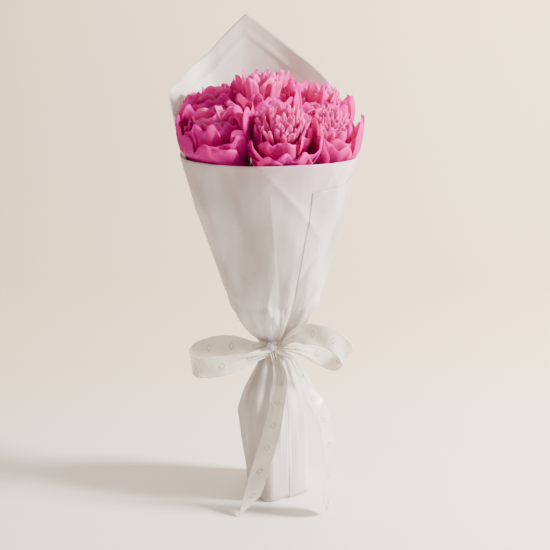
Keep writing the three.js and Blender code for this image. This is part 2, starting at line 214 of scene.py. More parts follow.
def petal_material(name, foot, body, edge):
    """Darker at the foot, paler at the rim, with fine veins that run up the petal."""
    s = Shader(name, Sheen_Weight=0.04, Sheen_Roughness=0.4, Specular_IOR_Level=0.16)
    uv = s.new("ShaderNodeSeparateXYZ", {0: s.new("ShaderNodeTexCoord").outputs["UV"]})
    tone = s.new("ShaderNodeAttribute", attribute_name="shade").outputs["Fac"]
    blotch = s.noise(70)
    up = s.maths("ADD", uv.outputs["Y"], s.maths("MULTIPLY", s.maths("SUBTRACT", blotch), 0.35))
    base = s.ramp(up, (0.15, foot), (0.62, body), (0.88, body), (1.02, edge))
    veins = s.noise(6, (11, 0.5, 1), uv=True)
    base = s.mix(s.maths("MULTIPLY", veins, 0.42), base, foot)
    lighter = s.maths("MULTIPLY", s.maths("SUBTRACT", tone, 0.35), 0.7)
    s.colour(s.mix(s.maths("MAXIMUM", lighter, 0.0), base, edge))
    s.rough(blotch, 0.48, 0.66)
    s.bump(s.maths("ADD", veins, s.noise(420)), 0.4, 0.0007)
    s.let_through(edge, PETAL_GLOW)
    return s.material


def green_material(name, dark, light, roughness):
    s = Shader(name, Specular_IOR_Level=0.25)
    veins = s.noise(5, (1, 9, 1), uv=True)
    s.colour(s.ramp(s.maths("ADD", s.maths("MULTIPLY", s.noise(60), 0.5),
                            s.maths("MULTIPLY", veins, 0.5)), (0.3, dark), (0.75, light)))
    s.rough(s.noise(140), roughness - 0.08, roughness + 0.1)
    s.bump(s.maths("ADD", veins, s.noise(500)), 0.4, 0.0006)
    return s.material


def paper_material():
    """Frosted paper: a fine speckle, painted shade in soft upright clouds, soft sheen, and a
    painted pink glow where blooms lie behind it.
    """
    s = Shader("frosted_paper", Sheen_Weight=0.15, Specular_IOR_Level=0.45, Alpha=0.93)
    # Painted shade: soft clouds, stretched upright, darken the paper towards a warm grey, standing
    # in for the shade of what lies inside it; the finer noise is the paper's own speckle.
    cloud = s.noise(26, (1, 1, 0.28), detail=2)
    mottle_and_painted_shade = s.maths("ADD", s.maths("MULTIPLY", cloud, 0.75),
                     s.maths("MULTIPLY", s.noise(900), 0.25))
    base = s.ramp(mottle_and_painted_shade, (0.36, (0.56, 0.48, 0.46)), (0.5, (0.76, 0.70, 0.68)),
                  (0.64, (0.90, 0.86, 0.85)))
    height = s.new("ShaderNodeSeparateXYZ", {0: s.where()}).outputs["Z"]
    # Painted pink glow in the band of heights where the blooms lie behind the paper, patchy by
    # noise.
    near_blooms = s.ramp(height, (0.37, (0, 0, 0)), (0.42, (1, 1, 1)),
                         (0.46, (0.6, 0.6, 0.6)), (0.51, (0, 0, 0)))
    petals = s.maths("MULTIPLY", near_blooms, s.noise(34, detail=1))
    s.colour(s.mix(s.maths("MULTIPLY", petals, 0.5), base, PAINTED_BLOOM_PINK))
    s.rough(cloud, 0.34, 0.52)
    s.bump(s.maths("ADD", s.noise(1300), s.maths("MULTIPLY", s.noise(45), 3.0)), 0.3, 0.0004)
    s.let_through((0.86, 0.80, 0.79), PAPER_GLOW)
    return s.material


def satin_material(motif):
    """Woven satin with painted shade in soft patches, and motif printed lozenges along its length,
    or none.
    """
    s = Shader("satin_ribbon", Specular_IOR_Level=0.9, Coat_Weight=0.4, Coat_Roughness=0.2)
    uv = s.new("ShaderNodeSeparateXYZ", {0: s.new("ShaderNodeTexCoord").outputs["UV"]})
    thread = s.noise(4, (60, 3, 1), uv=True)
    base = s.ramp(thread, (0.3, (0.95, 0.90, 0.82)), (0.7, (1.0, 0.98, 0.93)))
    # Painted shade: soft noise patches mixed towards a darker beige, standing in for shade in the
    # satin's folds.
    shade = s.maths("MULTIPLY", s.maths("SUBTRACT", s.noise(38, detail=1), 0.5), 1.6)
    base = s.mix(s.maths("MAXIMUM", shade, 0.0), base, (0.62, 0.55, 0.46))
    if motif:
        cell = s.maths("FRACT", s.maths("MULTIPLY", uv.outputs["Y"], motif))
        along = s.maths("ABSOLUTE", s.maths("SUBTRACT", cell))
        reach = s.maths("ADD", s.maths("MULTIPLY", along, 1.6),
                        s.maths("ABSOLUTE", s.maths("SUBTRACT", uv.outputs["X"])))
        line = s.maths("ABSOLUTE", s.maths("SUBTRACT", reach, 0.17))
        inside = s.maths("LESS_THAN", line, 0.034)
        base = s.mix(s.maths("MULTIPLY", inside, 0.8), base, ROSE_GOLD)
    s.colour(base)
    s.rough(thread, 0.16, 0.3)
    s.let_through((1.0, 0.95, 0.87), SATIN_GLOW)
    s.bump(s.maths("ADD", thread, s.maths("MULTIPLY", s.noise(48, detail=2), 8.0)), 0.6, 0.0012)
    return s.material


GUARD = petal_material("guard_petals",
                       (0.47, 0.003, 0.15), (0.70, 0.004, 0.36), (0.91, 0.020, 0.54))
INNER = petal_material("inner_petals",
                       (0.56, 0.003, 0.16), (0.79, 0.006, 0.40), (0.96, 0.040, 0.60))
HEART = petal_material("heart_petals",
                       (0.66, 0.004, 0.19), (0.90, 0.014, 0.46), (1.0, 0.20, 0.68))
SEPAL = green_material("sepals", (0.025, 0.030, 0.006), (0.10, 0.10, 0.02), 0.5)
LEAF = green_material("leaves", (0.010, 0.020, 0.004), (0.045, 0.055, 0.010), 0.6)
STEM = green_material("stems", (0.035, 0.055, 0.01), (0.12, 0.16, 0.04), 0.45)
PAPER = paper_material()
SATIN = satin_material(0)

# ---- The paper's outline, in millimetres and degrees round the tie's axis ----
# Height, and the paper's radius there.
PROFILE = [(0, 46), (35, 45), (70, 43.5), (104, 40), (132, 33.5), (154, 24), (170, 17.5),
           (184, 14.4), (200, 14.4), (209, 21), (222, 33), (240, 44), (268, 57), (308, 69.5),
           (365, 88), (426, 101), (446, 105), (584, 119)]
# Angle and radius of each corner at the skirt's foot, once round.
SKIRT_CORNERS = [(-98, 50), (-18, 52), (50, 46), (127, 52), (195, 44), (262, 50)]
FOOT_RADIUS = 46
LAYER = 1.3  # between two layers of paper
LIP = 7  # how far the lower edge turns in
BACK_SPAN = (-58, 202)
FRONT_SPAN = (162, 372)
FRONT_RIM = 426
HEM_BELOW = 24  # from the upper edge down to the pressed line
HEM_FROM = 440
# The profile smoothed, though less so at the waist.
HEIGHTS = np.linspace(0, 590, 1181)
_radii = np.interp(HEIGHTS, *zip(*PROFILE))
_even = np.convolve(np.pad(_radii, 12, "edge"), np.ones(25) / 25, "valid")
RADII = np.where((HEIGHTS > 170) & (HEIGHTS < 215), 0.5 * _radii + 0.5 * _even, _even)
LEAN = -0.021  # how far the bunch leans in x for each millimetre above the tie


def lean(z):
    """How far the bunch's middle lies to one side at a height."""
    return LEAN * np.maximum(0, z - TIE_MM)


def corner_radius(degrees):
    """How far out the skirt's polygon lies in a direction, its corners rounded."""
    out = np.zeros_like(degrees)
    first = SKIRT_CORNERS[0][0]
    for shift in (-9, -4.5, 0, 4.5, 9):
        turned = (degrees + shift - first) % 360 + first
        for (a0, r0), (a1, r1) in zip(SKIRT_CORNERS, SKIRT_CORNERS[1:]):
            inside = (turned >= a0) & (turned < a1 + 1e-9)
            cross = r0 * r1 * math.sin(math.radians(a1 - a0))
            side = cross / (r0 * np.sin(np.radians(turned - a0))
                            + r1 * np.sin(np.radians(a1 - turned)) + 1e-9)
            out = np.where(inside, out + side / 5, out)
    return out


def paper_radius(degrees, z):
    """The paper's radius before its folds.

    The skirt is cornered, and its lower left is tucked in."""
    share = np.interp(z, [0, 104, 165], [1, 0.8, 0])
    skirt = 1 + share * (corner_radius(degrees) / FOOT_RADIUS - 1)
    front = np.maximum(0, -np.sin(np.radians(degrees))) ** 2
    upper = np.interp(z, [209, 268], [0, 1])
    left = np.maximum(0, -np.cos(np.radians(degrees))) ** 2
    swell = left * np.interp(z, [0, 30, 100, 170], [-9, -5, 8, 0])
    return swell + np.interp(z, HEIGHTS, RADII) * skirt * (1 - upper * front * 0.06)


PLEATS = np.random.default_rng(7)
FOLD_DEPTH = 4.6
DROP_DEPTH = 3.6
PLEATS_MEET = 6  # below the tie
# Pleats that run up from the tie: angle, half width, length and share of the depth.
FOLDS = [(PLEATS.uniform(0, 360), PLEATS.uniform(5, 11), PLEATS.uniform(22, 150),
          PLEATS.uniform(0.5, 1.0)) for _ in range(46)]
# The same, down from the tie.
DROPS = [(PLEATS.uniform(0, 360), PLEATS.uniform(7, 14), PLEATS.uniform(40, 190),
          PLEATS.uniform(0.5, 1.0)) for _ in range(26)]
# Slanting creases: angle, height, slope, size and depth.
CREASES = [(PLEATS.uniform(185, 355), PLEATS.uniform(250, 420), PLEATS.uniform(-0.9, 0.9),
            PLEATS.uniform(18, 60), PLEATS.uniform(-2.0, 2.4)) for _ in range(22)]
# Broad folds below the tie: angle, half width, lower and upper end, and how far out or in.
SKIRT_FOLDS = [(232, 16, 95, 178, 4.5), (252, 12, 60, 170, -4.0), (284, 11, 50, 178, 5.0),
               (309, 12, 15, 120, -3.5), (338, 15, 30, 150, 3.0), (205, 14, 40, 120, -3.5),
               (25, 20, 30, 160, 3.5), (60, 16, 20, 140, -3.5), (98, 18, 40, 170, 3.5),
               (140, 16, 20, 130, -3.5), (168, 15, 50, 160, 3.0)]
# Rounded swells above the tie: angle, height, half width, size and depth.
PUFFS = [(PLEATS.uniform(0, 360), PLEATS.uniform(TIE_MM + 16, TIE_MM + 58),
          PLEATS.uniform(10, 19), PLEATS.uniform(11, 24), PLEATS.uniform(2.5, 5.0))
         for _ in range(40)]


def off(degrees, centre):
    """How far an angle is past a centre, from -180 to 180 degrees."""
    return (degrees - centre + 180) % 360 - 180


def folds(degrees, z):
    """How far the gathers push the paper out or in, in millimetres."""
    out = np.zeros_like(z)
    above = np.maximum(0, z - (TIE_MM + 4))
    below = np.maximum(0, (TIE_MM - 4) - z)
    for centre, width, length, size in FOLDS:
        ridge = 1 - np.abs(off(degrees, centre)) / (width * (1 + above / 90))
        out += np.where(z > TIE_MM - PLEATS_MEET, size * FOLD_DEPTH * np.maximum(0, ridge) ** 0.8
                        * np.exp(-above / length), 0)
    for centre, width, length, size in DROPS:
        ridge = 1 - np.abs(off(degrees, centre)) / (width * (1 + below / 130))
        out += np.where(z <= TIE_MM - PLEATS_MEET, size * DROP_DEPTH * np.maximum(0, ridge)
                        * np.exp(-below / length), 0)
    for angle, height, slope, size, depth in CREASES:
        across = off(degrees, angle) * 1.5 + (z - height) * slope
        out += depth * np.exp(-np.abs(across) / 6 - ((z - height) / size) ** 2)
    puffed = np.zeros_like(z)
    for angle, height, width, size, depth in PUFFS:
        round_off = (off(degrees, angle) / width) ** 2 + ((z - height) / size) ** 2
        puffed = np.maximum(puffed, depth * (1 - round_off))
    out += puffed
    for angle, width, low, high, depth in SKIRT_FOLDS:
        across = np.abs(off(degrees, angle)) / width
        deep = np.interp(z, [low, (low + high) / 2, high], [0, 1, 0])
        out += depth * np.maximum(0, 1 - across) * deep
    wave = (np.sin(np.radians(degrees * 3 + z * 0.45))
            + 0.6 * np.sin(np.radians(degrees * 5 - z * 0.3)))
    held = np.clip(np.abs(z - TIE_MM) / 60, 0.1, 1) * np.clip(z / 30, 0, 1)
    return out - 1.7 + wave * 0.9 * held


def sheet_grid(start, end, layer_of, edge_of, base_of, curl_of, hem=0.0):
    """A sheet of paper from one angle to another, as a grid of points in metres.

    layer_of, edge_of, base_of and curl_of give, at each angle, which layer it is, the heights of
    its upper and lower edge and how far the upper edge curls out. hem is the depth of a line
    pressed in below the upper edge, where that edge is high."""
    columns, rows = 110 + int(abs(end - start)), 130
    angle = np.repeat(np.linspace(start, end, columns)[:, None], rows, 1)
    t = np.linspace(0, 1, rows)[None]
    edge, base = edge_of(angle), base_of(angle)
    z = base + 0.6 + (edge - base) * t ** 0.9
    layer = layer_of(angle)
    tight = 1 - 0.8 * np.exp(-((z - TIE_MM) / 9) ** 2)
    r = paper_radius(angle, z) + layer + folds(angle, z) * tight
    r = r + curl_of(angle) * smooth((t - 0.90) / 0.10)
    r = r - hem * np.exp(-((edge - z - HEM_BELOW) / 3) ** 2) * (z > HEM_FROM)
    lip = np.concatenate([r[:, :1] - LIP, r[:, :1] - LIP / 2], 1)
    r = np.concatenate([lip, r], 1)
    z = np.concatenate([np.repeat(base[:, :1] + 0.4, 2, 1), z], 1)
    angle = np.concatenate([angle[:, :2], angle], 1)
    x = r * np.cos(np.radians(angle)) + lean(z)
    y = r * np.sin(np.radians(angle))
    return np.stack([x, y, z], -1) * MM + AXIS


# Angle and height along each sheet's upper edge.
BACK_EDGE = [(-58, 396), (-28, 400), (-8, 410), (12, 444), (25, 470), (48, 504), (70, 536),
             (94, 573), (102, 584), (110, 571), (127, 539), (141, 523), (152, 508), (180, 493),
             (202, 452)]
FRONT_EDGE = [(162, 429), (210, 426), (255, 426), (290, 427), (330, 426), (372, 424)]
back = mesh_of("back_paper", [sheet_grid(
    *BACK_SPAN, lambda a: np.interp(a, [-58, -48, 12, 152], [0.5, LAYER, LAYER, -LAYER]),
    lambda a: np.interp(a, *zip(*BACK_EDGE)) - 2,
    lambda a: np.interp(a, [142, 152], [0, LAYER]),
    lambda a: np.interp(a, [60, 110, 145, 175, 190], [0, 1, 8, 6, 0]), 1.6)], PAPER_THICK)
front = mesh_of("front_paper", [sheet_grid(
    *FRONT_SPAN, lambda a: 0 * a, lambda a: np.interp(a, *zip(*FRONT_EDGE)) - 1,
    lambda a: np.interp(a, [282, 292], [0, LAYER]), lambda a: 1.2 + 0 * a)], PAPER_THICK)
place(back, PAPER, "paper", "wrap_back_sheet")
place(front, PAPER, "paper", "wrap_front_sheet")


# ---- Blooms ----
HEART_SHARE = 0.34  # the CAD heart's radius in bloom radii
HEART_RISE = 0.06  # how far the heart's middle lies above the bloom's, in bloom radii
GUARD_PETALS = 9
INNER_PETALS = 11
SEPALS = 5
INNER_TURN = 2.4  # from one inner petal to the next, in radians
GOLDEN_ANGLE = 2.39996
PETAL_FEET = -0.62  # height of the upright petals' feet, in bloom radii
BETWEEN_BLOOMS = 0.0006
PRESSED_BACK = 0.88  # the share of an overlap that is taken away
INSIDE_PAPER = 4.5  # from the petals out to the paper
SPILL = 9  # how much farther out they may go above its rim


class Bloom:
    """A bloom's place and size, read from its CAD heart."""

    def __init__(self, name, lean_by, to, open_to, seed, pale, tall, heart):
        self.name = name
        low, high = (np.array(corner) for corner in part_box(f"{name}_heart"))
        self.r = float(np.max(high - low)) / 2 / HEART_SHARE
        self.axis = np.array([math.sin(lean_by) * math.cos(to), math.sin(lean_by) * math.sin(to),
                              math.cos(lean_by)])
        self.at = (low + high) / 2 - self.axis * self.r * HEART_RISE
        self.turn = np.array(Vector((0, 0, 1)).rotation_difference(Vector(self.axis)).to_matrix())
        self.open = math.radians(open_to)
        self.random = np.random.default_rng(seed)
        self.pale, self.tall, self.heart = pale, tall, heart

    def put(self, local):
        return local @ self.turn.T + self.at


# Lean and where it leans to in degrees, how far the petals open, the seed, how pale, how tall the
# heart is in bloom radii, and the kind of heart.
BLOOMS = [Bloom(name, math.radians(lean_by), math.radians(to), open_to, seed, pale, tall, heart)
          for name, lean_by, to, open_to, seed, pale, tall, heart in (
              ("front_left", 20, 215, 126, 3, 0.10, 0.90, "broad"),
              ("front_middle", 20, 275, 106, 5, 0.80, 1.05, "fine"),
              ("right", 18, 330, 118, 8, 0.60, 1.0, "fine"),
              ("middle", 4, 260, 118, 13, 0.60, 1.42, "tall"),
              ("back_left", 10, 150, 124, 21, 0.15, 1.0, "broad"),
              ("back", 6, 80, 120, 34, 0.35, 1.30, "tall"),
              ("back_right", 10, 30, 116, 55, 0.40, 1.18, "tall"))]
# For each kind of heart: how many petals, their half width, ruffle, spread from the axis and how
# far the corners of a tip drop, in half widths.
HEARTS = {"broad": (12, (0.36, 0.50), 0.06, 0.85, 0.55),
          "fine": (96, (0.06, 0.13), 0.03, 1.05, 1.5),
          "tall": (20, (0.13, 0.33), 0.05, 0.68, 0.8)}


def pressed(points, bloom, slack=0.0):
    """Petals bend back where they would go through a neighbour or the paper."""
    shape = points.shape
    p = points.reshape(-1, 3).copy()
    for other in BLOOMS:
        if other is bloom:
            continue
        away = other.at - bloom.at
        d = np.linalg.norm(away)
        away = away / d
        limit = (d * d + bloom.r ** 2 - other.r ** 2) / (2 * d) - BETWEEN_BLOOMS + slack
        past = (p - bloom.at) @ away - limit
        p -= np.maximum(0, past)[:, None] * PRESSED_BACK * away
    z = p[:, 2] / MM
    x = (p[:, 0] - AXIS[0]) / MM - lean(z)
    y = (p[:, 1] - AXIS[1]) / MM
    reach = np.hypot(x, y)
    start, end = BACK_SPAN
    degrees = (np.degrees(np.arctan2(y, x)) - start) % 360 + start
    rim = np.where(degrees < end, np.interp(degrees, *zip(*BACK_EDGE)), FRONT_RIM)
    limit = paper_radius(degrees, z) - INSIDE_PAPER + SPILL * smooth((z - rim + 2) / 14)
    over = np.maximum(0, reach - limit) * MM
    p[:, 0] -= over * x / reach
    p[:, 1] -= over * y / reach
    return p.reshape(shape)


def shell_petal(bloom, phi, half, share, foot, tip, ruffle, curl, tilt, columns=17, rows=16):
    """A broad petal that lies on a shell round the bloom's middle."""
    g = bloom.random
    u = np.linspace(-1, 1, columns)[:, None]
    v = np.linspace(0, 1, rows)[None]
    lobes = 0.055 * np.cos(u * math.pi * g.uniform(1.0, 2.4) + g.uniform(0, 6))
    lobes = lobes - 0.07 * np.exp(-((u - g.uniform(-0.6, 0.6)) / 0.12) ** 2)
    reach = v * (1 - 0.19 * np.abs(u) ** 4 + lobes * v ** 3)
    a = foot + (tip - foot) * reach
    b = phi + u * half * (0.4 + 0.6 * smooth(v / 0.6)) / np.maximum(np.sin(a), 0.45)
    wave = np.sin(u * math.pi * g.uniform(1.6, 3.2) + g.uniform(0, 6)) * ruffle * v ** 2.5
    wave = wave + np.sin(u * math.pi * g.uniform(5, 8) + g.uniform(0, 6)) * ruffle * 0.4 * v ** 4
    r = bloom.r * share * (1 + tilt * u + wave + curl * v ** 4 - 0.03 * u ** 2)
    p = np.stack([r * np.sin(a) * np.cos(b), r * np.sin(a) * np.sin(b), -r * np.cos(a)], -1)
    return pressed(bloom.put(p), bloom)


def upright_petal(bloom, phi, theta, height, width, ruffle, corner, columns=10, rows=12):
    """A petal that rises from the receptacle to the top of the bloom."""
    g = bloom.random
    out = np.array([math.cos(phi), math.sin(phi), 0.0])
    foot = np.array([0, 0, PETAL_FEET]) + out * 0.06
    tip = out * math.sin(theta) * height + np.array([0, 0, math.cos(theta) * height])
    bend = foot * 0.45 + tip * 0.55 + out * 0.22 - np.array([0, 0, 0.05])
    u = np.linspace(-1, 1, columns)[:, None]
    v = np.linspace(0, 1, rows)[None]
    drop = width * corner * np.abs(u) ** (1.2 + 1.2 / corner)
    v = v * (1 - drop + 0.12 * width * np.sin(u * g.uniform(3, 6) + g.uniform(0, 6)) * v ** 2)
    near, between, far = (1 - v) ** 2, 2 * v * (1 - v), v ** 2
    line = near[..., None] * foot + between[..., None] * bend + far[..., None] * tip
    twist = phi + math.pi / 2 + g.uniform(-0.5, 0.5)
    side = np.array([math.cos(twist), math.sin(twist), g.uniform(-0.12, 0.12)])
    across = (0.3 + 0.7 * smooth(v / 0.75)) * width * u
    wave = ruffle * v ** 2 * (np.sin(u * g.uniform(3, 5) + g.uniform(0, 6))
                              + 0.5 * np.sin(u * g.uniform(8, 12) + g.uniform(0, 6)))
    cup = 0.28 * width * (u ** 2 - 0.3)
    p = line + across[..., None] * side - (cup + wave)[..., None] * out
    return pressed(bloom.put(p * bloom.r), bloom)


for bloom in BLOOMS:
    g = bloom.random
    guard, inner, heart = [], [], []
    for k in range(GUARD_PETALS):
        phi = 2 * math.pi * (k + g.uniform(-0.25, 0.25)) / GUARD_PETALS
        open_to = bloom.open - 0.42 * max(0.0, -math.sin(phi)) + g.uniform(-0.24, 0.16)
        guard.append(shell_petal(bloom, phi, g.uniform(0.50, 0.76), 1.26 - 0.08 * (k % 3),
                                 math.radians(9), open_to, 0.045, g.uniform(-0.05, 0.09), 0.022))
    for k in range(INNER_PETALS):
        phi = INNER_TURN * k + g.uniform(-0.3, 0.3)
        open_to = bloom.open + g.uniform(-0.05, 0.28) - 0.26 * max(0.0, -math.sin(phi))
        inner.append(shell_petal(bloom, phi, g.uniform(0.44, 0.60), g.uniform(0.72, 0.95),
                                 math.radians(13), open_to, 0.06, g.uniform(-0.06, 0.07),
                                 g.uniform(-0.04, 0.04), 15, 14))
    many, half, ruffle, spread, corner = HEARTS[bloom.heart]
    for k in range(many):
        theta = 0.08 + spread * math.sqrt((k + 0.5) / many)
        heart.append(upright_petal(
            bloom, GOLDEN_ANGLE * k + g.uniform(-0.25, 0.25), theta,
            bloom.tall * g.uniform(0.70, 0.90), g.uniform(*half), ruffle, corner))
    for part, grids, material, slot in (("guard_petals", guard, GUARD, "outer_petals"),
                                        ("inner_petals", inner, INNER, "inner_petals"),
                                        ("heart", heart, HEART, "heart_petals")):
        shades = [bloom.pale * 0.6 + g.uniform(0, 0.45) for _ in grids]
        piece = mesh_of(f"{bloom.name}_{part}_soft", grids, PETAL_THICK, shades)
        place(piece, material, slot, f"{bloom.name}_{part}")

    sepals = []
    for k in range(SEPALS):
        u = np.linspace(-1, 1, 9)[:, None]
        v = np.linspace(0, 1, 10)[None]
        a = math.radians(7) + math.radians(30 + 8 * (k % 2)) * v
        wide = 0.42 * np.sin(math.pi * np.clip(0.12 + 0.86 * v, 0, 1)) ** 0.8
        b = 2 * math.pi * k / SEPALS + u * wide
        r = bloom.r * (1.035 + 0.02 * v ** 3 - 0.01 * np.abs(u)) + 0 * u
        p = np.stack([r * np.sin(a) * np.cos(b), r * np.sin(a) * np.sin(b), -r * np.cos(a)], -1)
        sepals.append(pressed(bloom.put(p), bloom, 0.0004))
    place(mesh_of(f"{bloom.name}_sepals", sepals, SEPAL_THICK), SEPAL, "sepals",
          f"{bloom.name}_calyx")

# ---- Stems ----
STEM_RADIUS = 0.0031
STEM_RINGS = 46
FOOT_RING = 25  # radius, in millimetres, of the ring that the cut ends stand on
WAIST_RING = 6.95  # the same at the tie
TWIST = 75  # degrees that a stem turns between its foot and the tie
SWING = 0.16  # how steeply a stem leaves the tie sideways
STEM_END = 0.42  # below the bloom's middle, in bloom radii
FLOOR_GAP = 0.0002
RING_ORDER = ["back_right", "back", "back_left", "front_left", "front_middle", "right"]


def polar(radius, degrees):
    return np.array([radius * math.cos(math.radians(degrees)),
                     radius * math.sin(math.radians(degrees)), 0.0])


for bloom in BLOOMS:
    ringed = bloom.name in RING_ORDER
    angle = -42 + 60 * RING_ORDER.index(bloom.name) if ringed else 0
    foot = polar(FOOT_RING, angle - TWIST) if ringed else np.array([2.0, 1.0, 0.0])
    waist = polar(WAIST_RING, angle) if ringed else np.zeros(3)
    swing = polar(SWING, angle + 90) if ringed else np.zeros(3)
    top = (bloom.at - AXIS - bloom.axis * bloom.r * STEM_END) / MM
    points = []
    for z in np.linspace(0, top[2], STEM_RINGS):
        if z <= TIE_MM:
            p = foot + (waist - foot) * z / TIE_MM
        else:
            height = top[2] - TIE_MM
            t = (z - TIE_MM) / height
            p = (waist * (2 * t ** 3 - 3 * t ** 2 + 1) + swing * height * (t ** 3 - 2 * t ** 2 + t)
                 + top * (3 * t ** 2 - 2 * t ** 3)
                 + bloom.axis / bloom.axis[2] * height * (t ** 3 - t ** 2))
        points.append([p[0], p[1], z])
    points = np.array(points) * MM + AXIS
    thick = STEM_RADIUS * (1 + 0.05 * np.sin(np.linspace(0, 9, STEM_RINGS)))
    wall = tube(points, thick)
    wall[..., 2] = np.maximum(wall[..., 2], FLOOR_GAP)
    cut = np.stack([wall[:, 0] * (1 - s) + points[0] * s for s in (0, 0.5, 0.98)], 1)
    cut[..., 2] = FLOOR_GAP
    place(mesh_of(f"{bloom.name}_stalk", [wall, cut]), STEM, "stems", f"{bloom.name}_stem")

# ---- Leaves ----
# Angle in degrees, and the heights of foot and tip and the width in millimetres.
for name, angle, foot, tip, width in (("leaf_front_left", 258, 306, 434, 25),
                                      ("leaf_front_right", 292, 310, 436, 23),
                                      ("leaf_right", 2, 300, 428, 24),
                                      ("leaf_back", 118, 304, 438, 26),
                                      ("leaf_left", 178, 300, 426, 24)):
    u = np.linspace(-1, 1, 13)[:, None]
    t = np.linspace(0, 1, 26)[None]
    z = foot + (tip - foot) * t + 0 * u
    r = paper_radius(angle + 0 * z, z) - 7 - 16 * (1 - t) ** 2
    half = np.maximum(0.8, width / 2 * np.sin(math.pi * np.minimum(1, t ** 0.8)))
    half = half * (1 + 0.05 * np.sin(t * 40))
    r = r - 2.8 * np.abs(u) + 0.5 * np.sin(t * 26) * u ** 2
    b = np.radians(angle) + u * half / r
    grid = np.stack([r * np.cos(b) + lean(z), r * np.sin(b), z], -1) * MM + AXIS
    place(mesh_of(name + "_blade", [grid], LEAF_THICK), LEAF, "leaves", name)

# ---- String ----
TURNS = 5
WINDING_RADIUS = 0.0113
WINDING_HALF = 0.0042
STRING_RADIUS = 0.0009
turn = np.linspace(0, 2 * math.pi * TURNS, 320)
winding = np.stack([WINDING_RADIUS * np.cos(turn), WINDING_RADIUS * np.sin(turn),
                    TIE_Z - WINDING_HALF + 2 * WINDING_HALF * turn / turn[-1]], 1) + AXIS
fibre = Shader("twisted_string")
twist = fibre.new("ShaderNodeTexWave",
                  {"Vector": fibre.where((1, 40, 1), uv=True), "Scale": 6.0})
fibre.colour(fibre.ramp(twist.outputs["Fac"],
                        (0.2, (0.30, 0.19, 0.08)), (0.8, (0.58, 0.43, 0.24))))
fibre.bump(twist.outputs["Fac"], 0.6)
place(mesh_of("string_winding", [tube(winding, STRING_RADIUS, 8)]), fibre.material, "string",
      "stem_string")


# ---- Ribbon ----
FULL = 12.5  # half the ribbon's width
POINTED = -7.0  # how far a slanting end runs out to one side
PLEAT = 3.2
CRUMPLE = 0.9
MOTIFS_ON_LOOP, MOTIFS_ON_TAIL = 9, 8


def through(keys, t):
    """A smooth line through the keys, at shares t of the way."""
    keys = np.array(keys, float)
    keys = np.concatenate([[2 * keys[0] - keys[1]], keys, [2 * keys[-1] - keys[-2]]])
    x = np.clip(t, 0, 1) * (len(keys) - 3)
    k = np.minimum(x.astype(int), len(keys) - 4)
    f = (x - k)[:, None]
    a, b, c, d = (keys[k + n] for n in range(4))
    return 0.5 * (2 * b + (c - a) * f + (2 * a - 5 * b + 4 * c - d) * f ** 2
                  + (3 * b - a - 3 * c + d) * f ** 3)


def ribbon(name, keys, seed, cut=0.0, rows=150, columns=19):
    """A length of ribbon and how long it is, gathered into pleats where it is narrow.

    keys are (middle, the way the width points, half width), in millimetres from the axis."""
    g = np.random.default_rng(seed)
    t = np.linspace(0, 1, rows)
    wide = np.array([np.array(w, float) / np.linalg.norm(w) * half for _, w, half in keys])
    width = through(wide, t)
    half = np.linalg.norm(width, axis=1)
    middle = through([at for at, _, _ in keys], t)
    run = np.gradient(middle, axis=0)
    run /= np.linalg.norm(run, axis=1, keepdims=True)
    normal = np.cross(width / half[:, None], run)
    u = np.linspace(-1, 1, columns)[:, None]
    gather = np.clip(1 - half / FULL, 0, 0.75)[None]
    pleat = np.sin(u * math.pi * 2.6 + 0.6) * gather * PLEAT
    crumple = CRUMPLE * np.sin(t[None] * 31 + u * g.uniform(1, 3) + g.uniform(0, 6)) * (1 - gather)
    grid = (middle[None] + u[..., None] * width[None]
            + (pleat + crumple - 0.9 * u ** 2)[..., None] * normal[None])
    if cut:
        end = smooth((t[None] - 0.9) / 0.1) * cut * u
        grid = grid + end[..., None] * run[None]
    grid[..., 2] = np.maximum(grid[..., 2], 0.3)
    length = np.linalg.norm(np.diff(middle, axis=0), axis=1).sum()
    return mesh_of(name, [grid * MM + AXIS], RIBBON_THICK), float(length) * MM


